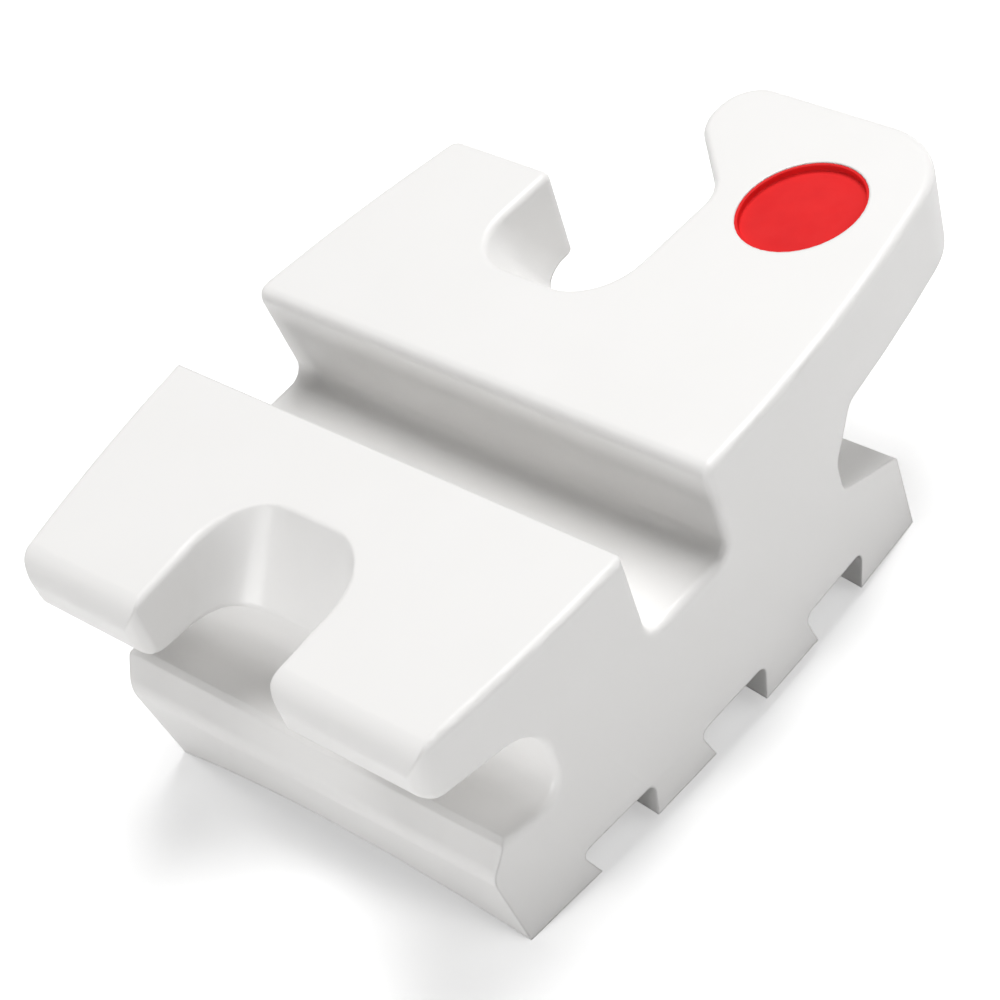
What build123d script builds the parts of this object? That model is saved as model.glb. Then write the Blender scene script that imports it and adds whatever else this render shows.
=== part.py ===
from build123d import *
import os
from math import atan2, cos, degrees, radians, sin, sqrt, tan

# A one-piece ceramic orthodontic bracket of the twin kind, with a coloured mark let into its long wing.
# X runs along the wire slot, Y across the slot towards the long wing, and Z away from the tooth.
# The origin is the middle of the slot floor. Sizes are in millimetres, and angles in degrees.
# A distance called a reach is measured from the middle of the slot, along Y.
# A height or a depth is measured from the slot floor, up or down.

# Wire slot
slot_width = 0.5588
slot_depth = 0.54
slot_floor_radius = 0.09
slot_back_edge_radius = 0.07

# End faces, which bow outwards and lean in towards the tooth
body_width = 3.09
end_face_bow_radius = 8.45
end_face_lean = 6.5

# Bonding base, hollowed both ways to sit on the curve of a tooth
floor_to_base = 1.07
base_front_reach = 1.37
tooth_radius_along_slot = 5.3
tooth_radius_across_slot = 9.9

# Dovetail grooves that key the base into the bonding cement
groove_count = 3
groove_pitch = 0.78
groove_mouth = 0.373
groove_ceiling = 0.485
groove_depth = 0.2
groove_corner_radius = 0.045

# Front side: flange, ligature groove and the pair of short wings
front_crest_reach = 1.43
front_crest_depth = 0.56
front_crest_radius = 0.16
front_lip_reach = 1.31
front_lip_depth = 0.39
front_neck_reach = 0.953
front_gutter_depth = 0.415
front_gutter_radius = 0.17
front_wing_reach = 1.58
front_wing_fall = 3.3
front_wing_underside = 0.095
front_wing_underside_rise = 0.03
front_wing_root_radius = 0.2
front_nose_top_radius = 0.13
front_nose_bottom_radius = 0.13
front_wing_corner_radius = 0.14
front_wing_corner_lead = 0.02

# Back side: flange, ligature groove, one short wing and the long wing
back_flange_reach = 1.49
back_flange_top_depth = 0.595
back_flange_radius = 0.05
back_neck_reach = 1.068
back_gutter_depth = 0.385
back_gutter_radius = 0.06
back_neck_lean_start_depth = 0.21
back_neck_lean = 40.0
back_neck_radius = 0.12
back_wing_underside = 0.02
back_wing_root_radius = 0.1
back_wing_fall = 2.3
short_wing_reach = 1.615
long_wing_reach = 2.56
wing_tip_lean = 6.0

# Front notch between the short wings
front_notch_centre = -0.07
front_notch_width = 0.96
front_notch_reach = 0.71
front_notch_radius = 0.33
front_notch_slope = 37.0

# Back notch, which opens out beside the neck of the long wing
back_notch_centre = -0.2225
back_notch_width = 0.915
back_notch_reach = 0.92
back_notch_radius = 0.3
back_notch_slope = 27.0

# Head of the long wing
neck_reach = 1.82
head_reach = 2.21
head_side = -0.215
neck_radius = 0.25
head_inner_corner_radius = 0.2
head_outer_corner_radius = 0.5

# Coloured mark in a round recess
mark_x = 0.73
mark_reach = 1.89
mark_radius = 0.327
recess_depth = 0.06
paint_thickness = 0.02

# Softened corners and rims of the wings
short_wing_corner_radius = 0.06
rim_radius = 0.04

# Room by which a cutting shape passes the surface that it opens
overshoot = 0.2

# Values that follow from the sizes above
half_slot = slot_width / 2
base_z = -floor_to_base
end_face_axis_x = end_face_bow_radius - body_width / 2
tooth_axis_z = base_z - tooth_radius_along_slot
base_middle_y = (back_flange_reach - base_front_reach) / 2


def half_width(y, z):
    """Distance from the middle plane to either end face, at a point given by y and z."""
    inset = (slot_depth - z) * tan(radians(end_face_lean))
    radius = end_face_bow_radius - inset
    return sqrt(radius**2 - y**2) - end_face_axis_x


def base_crown(y):
    """Height of the hollowed base in the middle plane, above the corners that stand at this y."""
    return sqrt(half_width(y, base_z)**2 + tooth_radius_along_slot**2) - tooth_radius_along_slot


def wing_top(reach, fall):
    """Height of a wing's top face at a reach from the slot."""
    return slot_depth - (reach - half_slot) * tan(radians(fall))


def rounded_outline(corners):
    """Face inside a closed outline, whose corners are given as (first, second, radius)."""
    points = [(first, second) for first, second, _ in corners]
    radii = [radius for _, _, radius in corners]
    return make_face(FilletPolyline(*points, radius=radii, close=True))


def side_section():
    """Outline of the body as seen along the slot, in (y, z), before the base is hollowed."""
    below = base_z - overshoot
    front_top = wing_top(front_wing_reach, front_wing_fall)
    back_top = wing_top(long_wing_reach, back_wing_fall)
    tip_inset = (back_top - back_wing_underside) * tan(radians(wing_tip_lean))
    lean_height = back_wing_underside + back_neck_lean_start_depth
    leaned_reach = back_neck_reach + lean_height * tan(radians(back_neck_lean))
    front_side = [
        (-base_front_reach, base_z, 0),
        (-front_crest_reach, -front_crest_depth, front_crest_radius),
        (-front_lip_reach, -front_lip_depth, 0),
        (-front_neck_reach, -front_gutter_depth, front_gutter_radius),
        (-front_neck_reach, front_wing_underside, front_wing_root_radius),
        (-front_wing_reach, front_wing_underside + front_wing_underside_rise, front_nose_bottom_radius),
        (-front_wing_reach, front_top, front_nose_top_radius),
    ]
    slot = [
        (-half_slot, slot_depth, 0),
        (-half_slot, 0, slot_floor_radius),
        (half_slot, 0, slot_floor_radius),
        (half_slot, slot_depth, slot_back_edge_radius),
    ]
    back_side = [
        (long_wing_reach, back_top, 0),
        (long_wing_reach - tip_inset, back_wing_underside, 0),
        (leaned_reach, back_wing_underside, back_wing_root_radius),
        (back_neck_reach, -back_neck_lean_start_depth, back_neck_radius),
        (back_neck_reach, -back_gutter_depth, back_gutter_radius),
        (back_flange_reach, -back_flange_top_depth, back_flange_radius),
        (back_flange_reach, base_z, 0),
    ]
    bottom = [
        (back_flange_reach, below, 0),
        (-base_front_reach, below, 0),
    ]
    return Plane.YZ * rounded_outline(front_side + slot + back_side + bottom)


def nearest_edge(body, x, y, z):
    """The edge of the body that passes nearest to a point."""
    return body.edges().sort_by_distance(Vertex(x, y, z))[0]


def between_end_faces():
    """Block between the two bowed and leaning end faces, with rounded corners at the front wings' tips."""
    top = slot_depth + overshoot
    bottom = base_z - 2 * overshoot
    slope = tan(radians(end_face_lean))
    cone = Cone(
        bottom_radius=end_face_bow_radius - (slot_depth - bottom) * slope,
        top_radius=end_face_bow_radius + overshoot * slope,
        height=top - bottom,
    )
    middle_z = (top + bottom) / 2
    right = Pos(-end_face_axis_x, 0, middle_z) * Rot(0, 0, 180) * cone
    left = Pos(end_face_axis_x, 0, middle_z) * cone
    reach = 2 * long_wing_reach
    front_y = -front_wing_reach - front_wing_corner_lead
    behind_front = Pos(0, reach / 2 + front_y, middle_z) * Box(2 * body_width, reach, top - bottom)
    block = right & left & behind_front
    corner_x = half_width(front_y, middle_z)
    for x in (-corner_x, corner_x):
        block = fillet(nearest_edge(block, x, front_y, middle_z), front_wing_corner_radius)
    return block


def tooth_with_keys():
    """Shape of the tooth's surface with a dovetail key for each groove, which hollows the base."""
    front_z = base_z + base_crown(-base_front_reach)
    back_z = base_z + base_crown(back_flange_reach)
    run = back_flange_reach + base_front_reach
    tilt = atan2(back_z - front_z, run)
    half_chord = sqrt(run**2 + (back_z - front_z)**2) / 2
    sink = sqrt(tooth_radius_across_slot**2 - half_chord**2)
    centre_y = base_middle_y + sink * sin(tilt)
    centre_z = (front_z + back_z) / 2 - sink * cos(tilt)

    surface = Circle(tooth_radius_across_slot)
    key = make_face(FilletPolyline(
        (-groove_mouth / 2, tooth_radius_across_slot),
        (-groove_ceiling / 2, tooth_radius_across_slot + groove_depth),
        (groove_ceiling / 2, tooth_radius_across_slot + groove_depth),
        (groove_mouth / 2, tooth_radius_across_slot),
        (groove_mouth / 2, tooth_radius_across_slot - overshoot),
        (-groove_mouth / 2, tooth_radius_across_slot - overshoot),
        radius=[0, groove_corner_radius, groove_corner_radius, 0, 0, 0],
        close=True,
    ))
    step = degrees(groove_pitch / tooth_radius_across_slot)
    keyed = surface
    for number in range(groove_count):
        turn = (number - (groove_count - 1) / 2) * step
        keyed += Rot(0, 0, -turn) * key
    reach = 2 * max(base_front_reach, back_flange_reach)
    window = Pos(-centre_y, base_z - centre_z) * Rectangle(2 * reach, 2 * floor_to_base)
    section = Plane.YZ * Pos(centre_y, centre_z) * (keyed & window)

    tooth_axis = Axis((0, 0, tooth_axis_z), (0, 1, 0))
    sweep = 60
    return revolve(section.rotate(tooth_axis, -sweep / 2), tooth_axis, sweep)


def front_notch():
    """Cutting shape of the notch between the short wings, whose end slopes out as it goes down."""
    top = slot_depth + overshoot
    bottom = (front_wing_underside - front_gutter_depth) / 2
    end = -front_notch_reach + overshoot * tan(radians(front_notch_slope))
    outside = -2 * front_wing_reach
    left = front_notch_centre - front_notch_width / 2
    right = front_notch_centre + front_notch_width / 2
    outline = rounded_outline([
        (left, outside, 0),
        (left, end, front_notch_radius),
        (right, end, front_notch_radius),
        (right, outside, 0),
    ])
    slope = radians(front_notch_slope)
    return extrude(Pos(0, 0, top) * outline, (top - bottom) / cos(slope), dir=(0, -sin(slope), -cos(slope)))


def back_clearance():
    """Cutting shape of everything that is open behind the slot, round the short and the long wing."""
    top = slot_depth + overshoot
    bottom = (back_wing_underside - back_gutter_depth) / 2
    depth = top - bottom
    outside = 2 * long_wing_reach
    left = back_notch_centre - back_notch_width / 2
    right = back_notch_centre + back_notch_width / 2
    slope = radians(back_notch_slope)
    end = back_notch_reach - overshoot * tan(slope)
    lean = radians(wing_tip_lean)
    tip = short_wing_reach + overshoot * tan(lean)

    notch = rounded_outline([
        (left, outside, 0),
        (left, end, back_notch_radius),
        (right, end, back_notch_radius),
        (right, outside, 0),
    ])
    beside_head = rounded_outline([
        (left - overshoot, 0, 0),
        (right, 0, 0),
        (right, neck_reach, neck_radius),
        (head_side, head_reach, neck_radius),
        (head_side, 2 * outside, 0),
        (left - overshoot, 2 * outside, 0),
    ])
    beyond_short_wing = rounded_outline([
        (-body_width, tip, 0),
        (back_notch_centre, tip, 0),
        (back_notch_centre, outside, 0),
        (-body_width, outside, 0),
    ])
    start = Pos(0, 0, top)
    cutter = extrude(start * notch, depth / cos(slope), dir=(0, sin(slope), -cos(slope)))
    cutter &= extrude(start * beside_head, depth, dir=(0, 0, -1))
    cutter += extrude(start * beyond_short_wing, depth / cos(lean), dir=(0, -sin(lean), -cos(lean)))
    return cutter


def mark_place():
    """Plane that lies on the top face of the long wing, centred on the coloured mark."""
    lean = radians(back_wing_fall)
    z = wing_top(mark_reach, back_wing_fall)
    return Plane(origin=(mark_x, mark_reach, z), x_dir=(1, 0, 0), z_dir=(0, sin(lean), cos(lean)))


def recess():
    """Cutting shape of the round recess for the mark."""
    depth = recess_depth + overshoot
    return mark_place() * Pos(0, 0, overshoot - depth / 2) * Cylinder(mark_radius, depth)


def with_rounded_wing_corners(body):
    """The body with the upright corners of both back wings rounded."""
    z = (wing_top(long_wing_reach, back_wing_fall) + back_wing_underside) / 2
    long_tip = long_wing_reach - (wing_top(long_wing_reach, back_wing_fall) - z) * tan(radians(wing_tip_lean))
    short_tip = short_wing_reach - (slot_depth - z) * tan(radians(wing_tip_lean))
    notch_side = back_notch_centre - back_notch_width / 2
    corners = [
        (head_side, long_tip, head_inner_corner_radius),
        (half_width(long_tip, z), long_tip, head_outer_corner_radius),
        (notch_side, short_tip, short_wing_corner_radius),
        (-half_width(short_tip, z), short_tip, short_wing_corner_radius),
    ]
    for x, y, radius in corners:
        body = fillet(nearest_edge(body, x, y, z), radius)
    return body


def with_soft_rims(body):
    """The body with a fine radius on the rim of every wing, of both notches and of the slot's ends."""
    front_reach = (half_slot + front_wing_reach) / 2
    front_z = wing_top(front_reach, front_wing_fall)
    front_x = half_width(front_reach, front_z)
    rims = [
        (front_x, -front_reach, front_z),
        (-front_x, -front_reach, front_z),
        (front_notch_centre, -front_notch_reach, wing_top(front_notch_reach, front_wing_fall)),
        (back_notch_centre, back_notch_reach, wing_top(back_notch_reach, back_wing_fall)),
    ]
    return fillet([nearest_edge(body, *point) for point in rims], rim_radius)


def bracket_body():
    """The whole ceramic body."""
    body = extrude(side_section(), body_width, both=True)
    body &= between_end_faces()
    body -= tooth_with_keys()
    body -= front_notch()
    body -= back_clearance()
    body = with_rounded_wing_corners(body)
    body = with_soft_rims(body)
    return body - recess()


def identification_mark():
    """Shallow cup of enamel that lines the recess."""
    cup = Pos(0, 0, -recess_depth / 2) * Cylinder(mark_radius, recess_depth)
    hollow = Pos(0, 0, paint_thickness) * Pos(0, 0, -recess_depth / 2)
    return mark_place() * (cup - hollow * Cylinder(mark_radius - paint_thickness, recess_depth))


os.makedirs("parts", exist_ok=True)
export_step(bracket_body(), "parts/bracket_body.step")
export_step(identification_mark(), "parts/identification_mark.step")
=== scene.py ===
"""Ceramic orthodontic bracket on a white table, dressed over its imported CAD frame.

The pieces are finished in millimetres in the part's own frame and brought back to metres afterwards, so sizes
and places are in millimetres here. X runs along the wire slot, Y across it towards the long wing, and Z away
from the tooth. The origin is the middle of the slot's floor.
"""

from __future__ import annotations

import logging
import math
from dataclasses import dataclass
from enum import Enum
from typing import Callable

import bpy
from mathutils import Matrix, Vector

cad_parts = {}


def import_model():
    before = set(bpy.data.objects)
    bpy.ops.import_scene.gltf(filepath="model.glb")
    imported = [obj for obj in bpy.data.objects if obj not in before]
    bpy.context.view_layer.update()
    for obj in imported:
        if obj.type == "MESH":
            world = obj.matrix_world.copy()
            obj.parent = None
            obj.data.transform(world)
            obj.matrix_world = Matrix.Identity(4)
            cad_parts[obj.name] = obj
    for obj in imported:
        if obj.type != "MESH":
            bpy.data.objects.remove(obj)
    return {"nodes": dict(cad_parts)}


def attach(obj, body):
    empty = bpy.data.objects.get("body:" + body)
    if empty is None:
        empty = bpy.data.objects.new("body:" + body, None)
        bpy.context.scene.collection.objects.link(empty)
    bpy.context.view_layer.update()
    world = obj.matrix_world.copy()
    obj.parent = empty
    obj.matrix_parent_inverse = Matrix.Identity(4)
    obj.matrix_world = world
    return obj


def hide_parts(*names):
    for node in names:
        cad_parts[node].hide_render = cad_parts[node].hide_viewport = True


LOG = logging.getLogger("bracket")
METRES_PER_MILLIMETRE = 0.001


class Slot(Enum):
    """The part's material slots, by the names that its record gives them."""

    CERAMIC = "ceramic"
    MARK = "mark_enamel"


class View(Enum):
    """The two ways in which an outline is drawn."""

    SIDE = "seen along the slot, as Y and Z"
    PLAN = "seen from above, as X and Y"

    def place(self, first: float, second: float, offset: float) -> Vector:
        """Turns a point of an outline into a place in the frame.

        Args:
            first: The point's first coordinate in this view.
            second: The point's second coordinate in this view.
            offset: The outline's distance along the axis that the view looks along.

        Returns:
            The point in the part's frame, in millimetres.
        """
        if self is View.SIDE:
            return Vector((offset, first, second))
        return Vector((first, second, offset))


@dataclass(frozen=True)
class Corner:
    """One corner of an outline, in millimetres."""

    first: float
    second: float
    radius: float = 0.0


class Workpiece:
    """A mesh on the bench, shaped by the operators that a modeller uses by hand.

    A rounded corner has ROUNDING_STEPS segments. A vertex nearer to a place than SAME_PLACE is at it, and two
    vertices of a new solid that are nearer than DOUBLES_GAP are one. LARGE_FACE_WEIGHT says how strongly the
    large faces rule the shading of the small ones beside them.
    """

    ROUNDING_STEPS = 16
    SAME_PLACE = 1e-4
    DOUBLES_GAP = 1e-6
    LARGE_FACE_WEIGHT = 80

    def __init__(self, name: str) -> None:
        """Takes the object that has just been added.

        Args:
            name: The name that the object gets.
        """
        self.body = bpy.context.object
        self.body.name = name
        self.body.data.name = name

    @staticmethod
    def clear() -> None:
        """Deselects every object, so that an operator acts on nothing by accident."""
        bpy.ops.object.select_all(action="DESELECT")

    @classmethod
    def drum(cls, name: str, radius: float, height: float, sides: int) -> Workpiece:
        """Adds an upright cylinder round the origin.

        Args:
            name: The drum's name.
            radius: Its radius.
            height: The distance between its faces.
            sides: The number of its facets.

        Returns:
            The drum as a workpiece.
        """
        cls.clear()
        bpy.ops.mesh.primitive_cylinder_add(vertices=sides, radius=radius, depth=height, location=(0, 0, 0))
        return cls(name)

    @classmethod
    def copy_of(cls, node: bpy.types.Object, name: str) -> Workpiece:
        """Copies a CAD node and brings the copy to millimetres.

        Args:
            node: The CAD node, which stays as it is.
            name: The copy's name.

        Returns:
            The copy as a workpiece.
        """
        body = bpy.data.objects.new(name, node.data.copy())
        bpy.context.scene.collection.objects.link(body)
        cls.clear()
        body.select_set(True)
        bpy.context.view_layer.objects.active = body
        piece = cls(name)
        piece.body.scale = (1 / METRES_PER_MILLIMETRE,) * 3
        piece.settle()
        return piece

    @classmethod
    def outline(cls, name: str, view: View, offset: float, corners: list[Corner]) -> Workpiece:
        """Draws a closed outline with rounded corners and fills it.

        A single vertex is extruded from corner to corner, the loop is closed and filled, and each corner that
        has a radius is bevelled.

        Args:
            name: The outline's name.
            view: The way in which the outline is drawn.
            offset: Its distance along the axis that the view looks along.
            corners: Its corners in order.

        Returns:
            The flat face as a workpiece.
        """
        places = [view.place(corner.first, corner.second, offset) for corner in corners]
        cls.clear()
        bpy.ops.mesh.primitive_plane_add(size=1, location=(0, 0, 0))
        piece = cls(name)
        bpy.ops.object.mode_set(mode="EDIT")
        bpy.ops.mesh.select_mode(type="VERT")
        bpy.ops.mesh.select_all(action="SELECT")
        bpy.ops.mesh.merge(type="CENTER")
        bpy.ops.transform.translate(value=places[0])
        for here, following in zip(places, places[1:]):
            bpy.ops.mesh.extrude_region_move(TRANSFORM_OT_translate={"value": following - here})
        bpy.ops.object.mode_set(mode="OBJECT")
        piece.select_places(places[0], places[-1])
        bpy.ops.object.mode_set(mode="EDIT")
        bpy.ops.mesh.edge_face_add()
        bpy.ops.mesh.select_all(action="SELECT")
        bpy.ops.mesh.edge_face_add()
        bpy.ops.object.mode_set(mode="OBJECT")
        for number, corner in enumerate(corners):
            if corner.radius > 0:
                before = (places[number - 1] - places[number]).normalized()
                after = (places[(number + 1) % len(places)] - places[number]).normalized()
                piece.round_corner(places[number], corner.radius / math.tan(before.angle(after) / 2))
        return piece

    def activate(self) -> None:
        """Makes this the only selected object and the active one."""
        self.clear()
        self.body.select_set(True)
        bpy.context.view_layer.objects.active = self.body

    def settle(self) -> None:
        """Moves the object's place, turn and scale into its mesh."""
        self.activate()
        bpy.ops.object.transform_apply(location=True, rotation=True, scale=True)

    def join_facets(self, gap: float, flatness: float) -> Workpiece:
        """Joins loose triangles into one closed skin with whole flat faces.

        Args:
            gap: The distance within which two vertices become one.
            flatness: The angle, in radians, below which two facets are one flat face.

        Returns:
            The same workpiece.
        """
        self.activate()
        bpy.ops.object.mode_set(mode="EDIT")
        bpy.ops.mesh.select_all(action="SELECT")
        bpy.ops.mesh.remove_doubles(threshold=gap)
        bpy.ops.mesh.dissolve_limited(angle_limit=flatness)
        bpy.ops.object.mode_set(mode="OBJECT")
        return self

    def select_vertices(self, wanted: Callable[[Vector], bool]) -> None:
        """Selects the vertices whose places pass a test, and nothing else.

        Args:
            wanted: The test, which is given each vertex's place.
        """
        mesh = self.body.data
        for group in (mesh.polygons, mesh.edges, mesh.vertices):
            for element in group:
                element.select = False
        for vertex in mesh.vertices:
            vertex.select = wanted(vertex.co)

    def select_places(self, *places: Vector) -> None:
        """Selects the vertices that are at one of these places, and nothing else."""
        gap = self.SAME_PLACE
        self.select_vertices(lambda vertex: any((vertex - place).length < gap for place in places))

    def round_corner(self, place: Vector, reach: float) -> None:
        """Rounds one corner of a flat outline.

        Args:
            place: Where the corner is.
            reach: The distance from the corner at which the rounding starts.
        """
        self.select_places(place)
        bpy.ops.object.mode_set(mode="EDIT")
        bpy.ops.mesh.bevel(
            offset_type="OFFSET", offset=reach, segments=self.ROUNDING_STEPS, profile=0.5, affect="VERTICES")
        bpy.ops.object.mode_set(mode="OBJECT")

    def extrude(self, path: Vector) -> Workpiece:
        """Draws a flat face out into a solid whose faces point outwards.

        Args:
            path: The way and the distance.

        Returns:
            The same workpiece.
        """
        bpy.ops.object.mode_set(mode="EDIT")
        bpy.ops.mesh.select_all(action="SELECT")
        bpy.ops.mesh.extrude_region_move(TRANSFORM_OT_translate={"value": path})
        bpy.ops.mesh.select_all(action="SELECT")
        bpy.ops.mesh.remove_doubles(threshold=self.DOUBLES_GAP)
        bpy.ops.mesh.normals_make_consistent(inside=False)
        bpy.ops.object.mode_set(mode="OBJECT")
        return self

    def cut(self, tool: Workpiece) -> Workpiece:
        """Takes away what lies inside another workpiece, and takes that one off the bench.

        Args:
            tool: The other workpiece.

        Returns:
            The same workpiece.
        """
        self.activate()
        bpy.ops.object.modifier_add(type="BOOLEAN")
        modifier = self.body.modifiers[-1]
        modifier.operation = "DIFFERENCE"
        modifier.solver = "EXACT"
        modifier.object = tool.body
        bpy.ops.object.modifier_apply(modifier=modifier.name)
        bpy.data.objects.remove(tool.body)
        return self

    def even_shading(self, sharpness: float) -> Workpiece:
        """Shades the roundings smoothly and keeps large faces flat.

        Args:
            sharpness: The angle, in radians, above which an edge still shows.

        Returns:
            The same workpiece.
        """
        self.activate()
        bpy.ops.object.shade_smooth()
        bpy.ops.object.mode_set(mode="EDIT")
        bpy.ops.mesh.select_mode(type="EDGE")
        bpy.ops.mesh.select_all(action="SELECT")
        bpy.ops.mesh.mark_sharp(clear=True)
        bpy.ops.mesh.select_all(action="DESELECT")
        bpy.ops.mesh.edges_select_sharp(sharpness=sharpness)
        bpy.ops.mesh.mark_sharp()
        bpy.ops.mesh.select_mode(type="VERT")
        bpy.ops.object.mode_set(mode="OBJECT")
        bpy.ops.object.modifier_add(type="WEIGHTED_NORMAL")
        weighted = self.body.modifiers[-1]
        weighted.mode = "FACE_AREA"
        weighted.weight = self.LARGE_FACE_WEIGHT
        weighted.keep_sharp = True
        bpy.ops.object.modifier_apply(modifier=weighted.name)
        return self

    def finish(self, material: bpy.types.Material) -> bpy.types.Object:
        """Brings the piece to metres and gives it its material.

        Args:
            material: The material.

        Returns:
            The finished object, whose place is in its mesh.
        """
        self.activate()
        self.body.scale = (METRES_PER_MILLIMETRE,) * 3
        self.body.location = self.body.location * METRES_PER_MILLIMETRE
        self.settle()
        self.body.data.materials.clear()
        self.body.data.materials.append(material)
        return self.body


@dataclass(frozen=True)
class CornerCutter:
    """Takes away the waste outside a rounded corner, all along it.

    The corner's place, its two walls and its radius are drawn in a view, and the sweep carries the outline
    along the corner. The cutter follows each wall wall_share times as far as the rounding does, and ends off
    it by the clearance. From there it reaches outwards by waste_share times the radius.
    """

    name: str
    view: View
    start: float
    place: tuple[float, float]
    along_first: tuple[float, float]
    along_second: tuple[float, float]
    radius: float
    sweep: tuple[float, float, float]
    clearance: float = 0.01
    wall_share: float = 1.6
    waste_share: float = 3.0

    def build(self) -> Workpiece:
        """Makes the shape of the waste.

        Returns:
            The cutting shape.
        """
        first = Vector(self.along_first).normalized()
        second = Vector(self.along_second).normalized()
        outwards = -(first + second).normalized()
        corner = Vector(self.place)
        length = self.wall_share * self.radius / math.tan(first.angle(second) / 2)
        waste = outwards * (self.waste_share * self.radius)
        ends = [corner + wall * length + outwards * self.clearance for wall in (first, second)]
        corners = [
            Corner(*ends[0]),
            Corner(*corner, self.radius),
            Corner(*ends[1]),
            Corner(*(ends[1] + waste)),
            Corner(*(corner + 2 * waste)),
            Corner(*(ends[0] + waste)),
        ]
        return Workpiece.outline(self.name, self.view, self.start, corners).extrude(Vector(self.sweep))


@dataclass
class CeramicBody:
    """The one-piece body: base, flanges, slot and wings.

    The nose and the lip are places seen along the slot, as Y and Z, and the lip's facing is an angle from Y
    towards Z. The mouth is the X of the front notch's two walls. The front wings' tops fall towards the nose
    by nose_fall. The cutters reach as far as half_length to each side, and from the top down by the depth.
    """

    name: str = "ceramic_body"
    half_length: float = 2.0
    top: float = 0.74
    depth: float = 0.9
    nose: tuple[float, float] = (-1.58, 0.465)
    nose_fall: float = math.radians(3.3)
    nose_radius: float = 0.19
    mouth: tuple[float, float] = (-0.55, 0.41)
    mouth_radius: float = 0.11
    lip: tuple[float, float] = (-1.31, -0.39)
    lip_facing: float = math.radians(115.4)
    land_depth: float = 0.0105
    land_reach: float = 0.06
    facet_gap: float = 0.003
    flatness: float = math.radians(0.3)
    sharpness: float = math.radians(25)

    def mouth_cutter(self, side: int) -> CornerCutter:
        """Draws up the cutter that rounds a corner of the front notch's mouth.

        Args:
            side: 1 for the right corner and -1 for the left one.

        Returns:
            The corner's cutter.
        """
        x = self.mouth[0] if side < 0 else self.mouth[1]
        return CornerCutter("mouth_corner", View.PLAN, self.top, (x, self.nose[0]), (0, 1), (side, 0),
                            self.mouth_radius, (0, 0, -self.depth))

    def nose_cutter(self) -> CornerCutter:
        """Draws up the cutter that rounds the noses of the short front wings.

        Returns:
            The noses' cutter.
        """
        along_top = (math.cos(self.nose_fall), math.sin(self.nose_fall))
        return CornerCutter("nose", View.SIDE, -self.half_length, self.nose, along_top, (0, -1),
                            self.nose_radius, (2 * self.half_length, 0, 0))

    def land_cutter(self) -> Workpiece:
        """Makes the cutter for the narrow flat land along the front flange's lip.

        Returns:
            The cutting shape.
        """
        outwards = Vector((math.cos(self.lip_facing), math.sin(self.lip_facing)))
        along = Vector((-outwards.y, outwards.x))
        middle = Vector(self.lip) - outwards * self.land_depth
        ends = [middle - along * self.land_reach, middle + along * self.land_reach]
        corners = [
            Corner(*ends[0]),
            Corner(*ends[1]),
            Corner(*(ends[1] + outwards * self.land_reach)),
            Corner(*(ends[0] + outwards * self.land_reach)),
        ]
        outline = Workpiece.outline("lip_land", View.SIDE, -self.half_length, corners)
        return outline.extrude(Vector((2 * self.half_length, 0, 0)))

    def build(self, node: bpy.types.Object) -> Workpiece:
        """Finishes a copy of the CAD body: rounder noses and notch mouth, and a flat land along the lip.

        Args:
            node: The CAD body.

        Returns:
            The body, in millimetres.
        """
        body = Workpiece.copy_of(node, self.name)
        body.join_facets(self.facet_gap, self.flatness)
        body.cut(self.land_cutter())
        for side in (-1, 1):
            body.cut(self.mouth_cutter(side).build())
        body.cut(self.nose_cutter().build())
        body.join_facets(self.facet_gap, self.flatness)
        return body.even_shading(self.sharpness)

    def dress(self, node: bpy.types.Object, material: bpy.types.Material) -> bpy.types.Object:
        """Builds the body and puts it in the place of its CAD node.

        Args:
            node: The CAD body.
            material: The ceramic.

        Returns:
            The finished object.
        """
        body = self.build(node).finish(material)
        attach(body, "root")
        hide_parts(node.name)
        return body


@dataclass
class EnamelMark:
    """The red enamel that lines the recess in the long wing.

    Its place is on the wing's top, which falls towards the wing's end by the lean, and its rim lies rim_drop
    below it. Its height and its floor are measured from its underside.
    """

    name: str = "enamel_mark"
    place: tuple[float, float, float] = (0.73, 1.89, 0.4753)
    rim_drop: float = 0.004
    radius: float = 0.331
    wall: float = 0.02
    height: float = 0.056
    floor: float = 0.022
    lean: float = math.radians(2.3)
    sides: int = 256
    rounding: float = 0.006
    steps: int = 4
    sharpness: float = math.radians(40)

    def build(self) -> Workpiece:
        """Turns a disc into a shallow cup with soft edges.

        Returns:
            The cup, in millimetres.
        """
        up = Vector((0, math.sin(self.lean), math.cos(self.lean)))
        cup = Workpiece.drum(self.name, self.radius, self.height, self.sides)
        cup.select_vertices(lambda vertex: vertex.z > 0)
        bpy.ops.object.mode_set(mode="EDIT")
        bpy.ops.mesh.select_mode(type="FACE")
        bpy.ops.mesh.inset(thickness=self.wall, use_even_offset=True)
        bpy.ops.mesh.extrude_region_move(TRANSFORM_OT_translate={"value": (0, 0, self.floor - self.height)})
        bpy.ops.object.mode_set(mode="OBJECT")
        bpy.ops.object.modifier_add(type="BEVEL")
        bevel = cup.body.modifiers[-1]
        bevel.width = self.rounding
        bevel.segments = self.steps
        bevel.limit_method = "ANGLE"
        bevel.angle_limit = self.sharpness
        bpy.ops.object.modifier_apply(modifier=bevel.name)
        cup.body.rotation_euler = (-self.lean, 0, 0)
        cup.body.location = Vector(self.place) - up * (self.height / 2 + self.rim_drop)
        cup.settle()
        return cup.even_shading(self.sharpness)

    def dress(self, node: bpy.types.Object, material: bpy.types.Material) -> bpy.types.Object:
        """Builds the mark and puts it in the place of its CAD node.

        Args:
            node: The CAD mark.
            material: The enamel.

        Returns:
            The finished object.
        """
        mark = self.build().finish(material)
        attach(mark, "root")
        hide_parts(node.name)
        return mark


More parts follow.
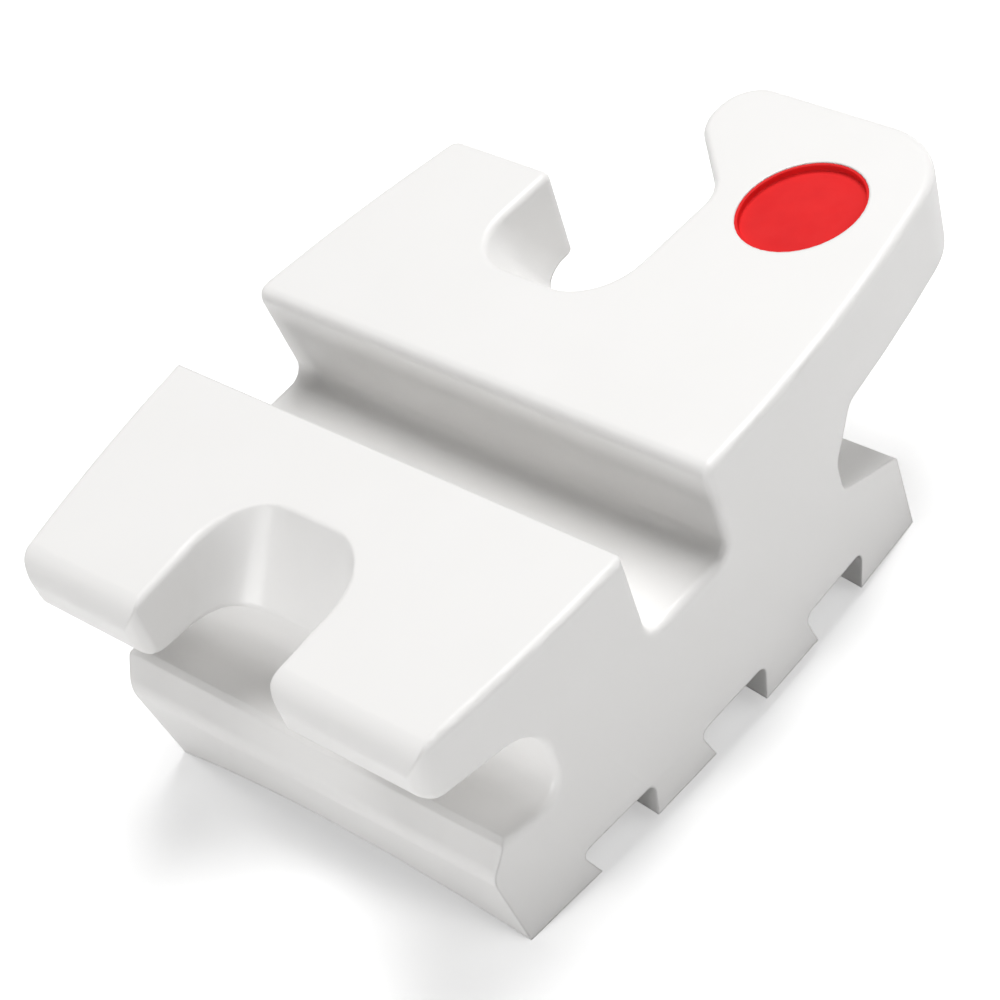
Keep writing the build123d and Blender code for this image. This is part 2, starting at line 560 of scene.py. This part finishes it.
class Recipe:
    """A node material under construction.

    A noise's values lie mostly within NOISE_RANGE, a tint changes within TINT_RANGE, and the edges' rounding
    is averaged over EDGE_SAMPLES.
    """

    NOISE_RANGE = (0.3, 0.7)
    TINT_RANGE = (0.15, 0.85)
    EDGE_SAMPLES = 4

    def __init__(self, name: str) -> None:
        """Starts a material with a principled shader.

        Args:
            name: The material's name.
        """
        self.material = bpy.data.materials.new(name)
        self.material.use_nodes = True
        self.nodes = self.material.node_tree.nodes
        self.shader = self.nodes["Principled BSDF"]
        self.coordinates = self.nodes.new("ShaderNodeTexCoord")

    def link(self, source: bpy.types.NodeSocket, target: bpy.types.NodeSocket) -> None:
        """Joins two sockets."""
        self.material.node_tree.links.new(source, target)

    def noise(self, features_per_mm: float, detail: float = 3.0) -> bpy.types.NodeSocket:
        """Adds a noise that is fixed to the piece.

        Args:
            features_per_mm: The noise's scale.
            detail: How many octaves it has.

        Returns:
            The noise's value.
        """
        node = self.nodes.new("ShaderNodeTexNoise")
        node.inputs["Scale"].default_value = features_per_mm / METRES_PER_MILLIMETRE
        node.inputs["Detail"].default_value = detail
        self.link(self.coordinates.outputs["Object"], node.inputs["Vector"])
        return node.outputs["Fac"]

    def between(self, value: bpy.types.NodeSocket, low: float, high: float) -> bpy.types.NodeSocket:
        """Spreads a noise over two values, which its middle range nearly reaches.

        Args:
            value: The noise.
            low: What its dark parts become.
            high: What its bright parts become.

        Returns:
            The spread value.
        """
        node = self.nodes.new("ShaderNodeMapRange")
        node.clamp = False
        node.inputs["From Min"].default_value = self.NOISE_RANGE[0]
        node.inputs["From Max"].default_value = self.NOISE_RANGE[1]
        node.inputs["To Min"].default_value = low
        node.inputs["To Max"].default_value = high
        self.link(value, node.inputs["Value"])
        return node.outputs["Result"]

    def tint(self, value: bpy.types.NodeSocket, dark: tuple[float, ...], light: tuple[float, ...]) -> None:
        """Colours the shader between two tints.

        Args:
            value: What chooses between them.
            dark: The tint where the value is low.
            light: The tint where the value is high.
        """
        ramp = self.nodes.new("ShaderNodeValToRGB")
        ramp.color_ramp.interpolation = "EASE"
        for stop, position, colour in zip(ramp.color_ramp.elements, self.TINT_RANGE, (dark, light)):
            stop.position = position
            stop.color = (*colour, 1)
        self.link(value, ramp.inputs["Fac"])
        self.link(ramp.outputs["Color"], self.shader.inputs["Base Color"])

    def soft_edges(self, radius_mm: float) -> bpy.types.NodeSocket:
        """Shades the edges as if they were finely rounded.

        Args:
            radius_mm: The radius of the rounding.

        Returns:
            The rounded normal.
        """
        node = self.nodes.new("ShaderNodeBevel")
        node.samples = self.EDGE_SAMPLES
        node.inputs["Radius"].default_value = radius_mm * METRES_PER_MILLIMETRE
        return node.outputs["Normal"]

    def bump(
        self, value: bpy.types.NodeSocket, height_mm: float, before: bpy.types.NodeSocket | None = None,
    ) -> bpy.types.NodeSocket:
        """Raises the surface by a noise.

        Args:
            value: The noise.
            height_mm: How high it stands.
            before: The normal that the bump is added to, where that isn't the plain one.

        Returns:
            The bumped normal.
        """
        node = self.nodes.new("ShaderNodeBump")
        node.inputs["Distance"].default_value = height_mm * METRES_PER_MILLIMETRE
        self.link(value, node.inputs["Height"])
        if before is not None:
            self.link(before, node.inputs["Normal"])
        return node.outputs["Normal"]


@dataclass(frozen=True)
class SatinCeramic:
    """Fine-ground white ceramic with a satin polish.

    Its clouds, its polish and its grain each have a number of features per millimetre.
    """

    light: tuple[float, float, float] = (0.803, 0.795, 0.785)
    dark: tuple[float, float, float] = (0.791, 0.783, 0.771)
    clouds: float = 1.3
    polish: float = 3.0
    smooth: float = 0.33
    rough: float = 0.37
    grain: float = 90.0
    grain_height: float = 0.00012
    edge_radius: float = 0.02
    refraction: float = 1.5
    specular: float = 0.4
    coat: float = 0.05
    coat_roughness: float = 0.25

    def mix(self) -> bpy.types.Material:
        """Makes the material.

        Returns:
            The ceramic.
        """
        recipe = Recipe("satin_ceramic")
        recipe.tint(recipe.noise(self.clouds, detail=4), self.dark, self.light)
        polish = recipe.between(recipe.noise(self.polish), self.smooth, self.rough)
        recipe.link(polish, recipe.shader.inputs["Roughness"])
        edges = recipe.soft_edges(self.edge_radius)
        grain = recipe.bump(recipe.noise(self.grain, detail=2), self.grain_height, edges)
        recipe.link(grain, recipe.shader.inputs["Normal"])
        recipe.shader.inputs["IOR"].default_value = self.refraction
        recipe.shader.inputs["Specular IOR Level"].default_value = self.specular
        recipe.shader.inputs["Coat Weight"].default_value = self.coat
        recipe.shader.inputs["Coat Roughness"].default_value = self.coat_roughness
        return recipe.material


@dataclass(frozen=True)
class RedEnamel:
    """Red marking enamel, brushed into the recess.

    Its clouds, its sheen and its brush marks each have a number of features per millimetre.
    """

    light: tuple[float, float, float] = (0.70, 0.016, 0.017)
    dark: tuple[float, float, float] = (0.65, 0.012, 0.014)
    clouds: float = 7.0
    sheen: float = 12.0
    smooth: float = 0.56
    rough: float = 0.66
    marks: float = 25.0
    mark_height: float = 0.0006
    specular: float = 0.15

    def mix(self) -> bpy.types.Material:
        """Makes the material.

        Returns:
            The enamel.
        """
        recipe = Recipe("red_enamel")
        recipe.tint(recipe.noise(self.clouds), self.dark, self.light)
        sheen = recipe.between(recipe.noise(self.sheen), self.smooth, self.rough)
        recipe.link(sheen, recipe.shader.inputs["Roughness"])
        marks = recipe.bump(recipe.noise(self.marks, detail=2), self.mark_height)
        recipe.link(marks, recipe.shader.inputs["Normal"])
        recipe.shader.inputs["Specular IOR Level"].default_value = self.specular
        return recipe.material


@dataclass
class Table:
    """The white table that the bracket stands on.

    Its height is that of its top in the frame. Its glow is for the camera alone and lights nothing.
    """

    side: float = 400.0
    height: float = -1.07
    colour: tuple[float, float, float] = (0.8, 0.8, 0.8)
    roughness: float = 0.9
    glow: float = 0.42

    def lay(self) -> bpy.types.Object:
        """Adds the table top with its matt white material.

        Returns:
            The table.
        """
        Workpiece.clear()
        bpy.ops.mesh.primitive_plane_add(size=self.side, location=(0, 0, self.height))
        table = Workpiece("white_table")
        recipe = Recipe("table_white")
        recipe.shader.inputs["Base Color"].default_value = (*self.colour, 1)
        recipe.shader.inputs["Roughness"].default_value = self.roughness
        recipe.shader.inputs["Specular IOR Level"].default_value = 0.0
        ray = recipe.nodes.new("ShaderNodeLightPath")
        scale = recipe.nodes.new("ShaderNodeMath")
        scale.operation = "MULTIPLY"
        scale.inputs[1].default_value = self.glow
        recipe.link(ray.outputs["Is Camera Ray"], scale.inputs[0])
        recipe.shader.inputs["Emission Color"].default_value = (1, 1, 1, 1)
        recipe.link(scale.outputs["Value"], recipe.shader.inputs["Emission Strength"])
        body = table.finish(recipe.material)
        return body


@dataclass(frozen=True)
class SoftLamp:
    """A square soft box that looks at the bracket.

    Its azimuth runs from X towards Y, and both angles are in degrees.
    """

    name: str
    azimuth: float
    elevation: float
    size: float
    level: float
    distance: float = 50.0

    def place(self) -> Vector:
        """Works out where the lamp hangs.

        Returns:
            The lamp's place, in metres.
        """
        azimuth = math.radians(self.azimuth)
        elevation = math.radians(self.elevation)
        across = math.cos(elevation)
        towards = Vector((across * math.cos(azimuth), across * math.sin(azimuth), math.sin(elevation)))
        return towards * self.distance * METRES_PER_MILLIMETRE

    def hang(self) -> bpy.types.Object:
        """Hangs the lamp.

        Its level is the brightness that it gives a white surface facing it at the bracket.

        Returns:
            The lamp.
        """
        place = self.place()
        light = bpy.data.lights.new(self.name, "AREA")
        light.size = self.size * METRES_PER_MILLIMETRE
        light.energy = self.level * math.pi**2 * place.length_squared
        lamp = bpy.data.objects.new(self.name, light)
        lamp.location = place
        lamp.rotation_euler = place.to_track_quat("Z", "Y").to_euler()
        bpy.context.scene.collection.objects.link(lamp)
        return lamp


@dataclass
class Studio:
    """The lamps and the room round the bracket.

    The room's walls light the bracket at the level of the surroundings, and the camera sees them at that of
    the backdrop.
    """

    surroundings: float = 0.06
    backdrop: float = 1.0
    lamps: tuple[SoftLamp, ...] = (
        SoftLamp("back_lamp", 106, 65, 34, 1.12),
        SoftLamp("right_lamp", 22, 38, 30, 0.26),
        SoftLamp("low_front_lamp", 264, 7, 24, 0.66),
        SoftLamp("low_right_lamp", 0, 8, 24, 0.14),
    )

    def light(self) -> None:
        """Hangs the lamps and sets the even light of the surroundings."""
        for lamp in self.lamps:
            lamp.hang()
            LOG.info("%s hung", lamp.name)
        world = bpy.data.worlds.new("white_room")
        world.use_nodes = True
        bpy.context.scene.world = world
        nodes = world.node_tree.nodes
        background = nodes["Background"]
        background.inputs["Color"].default_value = (1, 1, 1, 1)
        ray = nodes.new("ShaderNodeLightPath")
        level = nodes.new("ShaderNodeMapRange")
        level.inputs["To Min"].default_value = self.surroundings
        level.inputs["To Max"].default_value = self.backdrop
        world.node_tree.links.new(ray.outputs["Is Camera Ray"], level.inputs["Value"])
        world.node_tree.links.new(level.outputs["Result"], background.inputs["Strength"])


@dataclass(frozen=True)
class PhotoCamera:
    """The camera, at the photograph's viewing angle.

    Right and down are the picture's own directions in the frame. It sees what lies between the nearest and
    the farthest distance.
    """

    place: tuple[float, float, float] = (11.6570, -6.4785, 11.1210)
    right: tuple[float, float, float] = (0.685798, 0.651562, -0.324266)
    down: tuple[float, float, float] = (0.297061, -0.657344, -0.692570)
    lens: float = 132.87
    sensor: float = 36.0
    nearest: float = 0.5
    farthest: float = 2000.0

    def mount(self) -> bpy.types.Object:
        """Mounts the camera and makes it the scene's own.

        Returns:
            The camera.
        """
        data = bpy.data.cameras.new("photo_camera")
        data.lens = self.lens
        data.sensor_width = self.sensor
        data.clip_start = self.nearest * METRES_PER_MILLIMETRE
        data.clip_end = self.farthest * METRES_PER_MILLIMETRE
        camera = bpy.data.objects.new("photo_camera", data)
        across = Vector(self.right)
        up = -Vector(self.down)
        back = across.cross(up)
        turn = Matrix((across, up, back)).transposed().to_4x4()
        camera.matrix_world = Matrix.Translation(Vector(self.place) * METRES_PER_MILLIMETRE) @ turn
        bpy.context.scene.collection.objects.link(camera)
        bpy.context.scene.camera = camera
        return camera


def main() -> None:
    """Builds the scene over the CAD frame, piece by piece."""
    logging.basicConfig(level=logging.INFO, format="%(name)s: %(message)s")
    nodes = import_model()["nodes"]
    Workpiece.clear()
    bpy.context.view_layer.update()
    body = CeramicBody().dress(nodes["bracket_body"], SatinCeramic().mix())
    LOG.info("%s has %d faces", body.name, len(body.data.polygons))
    mark = EnamelMark().dress(nodes["identification_mark"], RedEnamel().mix())
    LOG.info("%s has %d faces", mark.name, len(mark.data.polygons))
    table = Table().lay()
    LOG.info("%s laid", table.name)
    Studio().light()
    PhotoCamera().mount()
    bpy.context.scene.view_settings.view_transform = "Standard"


if __name__ == "__main__":
    main()
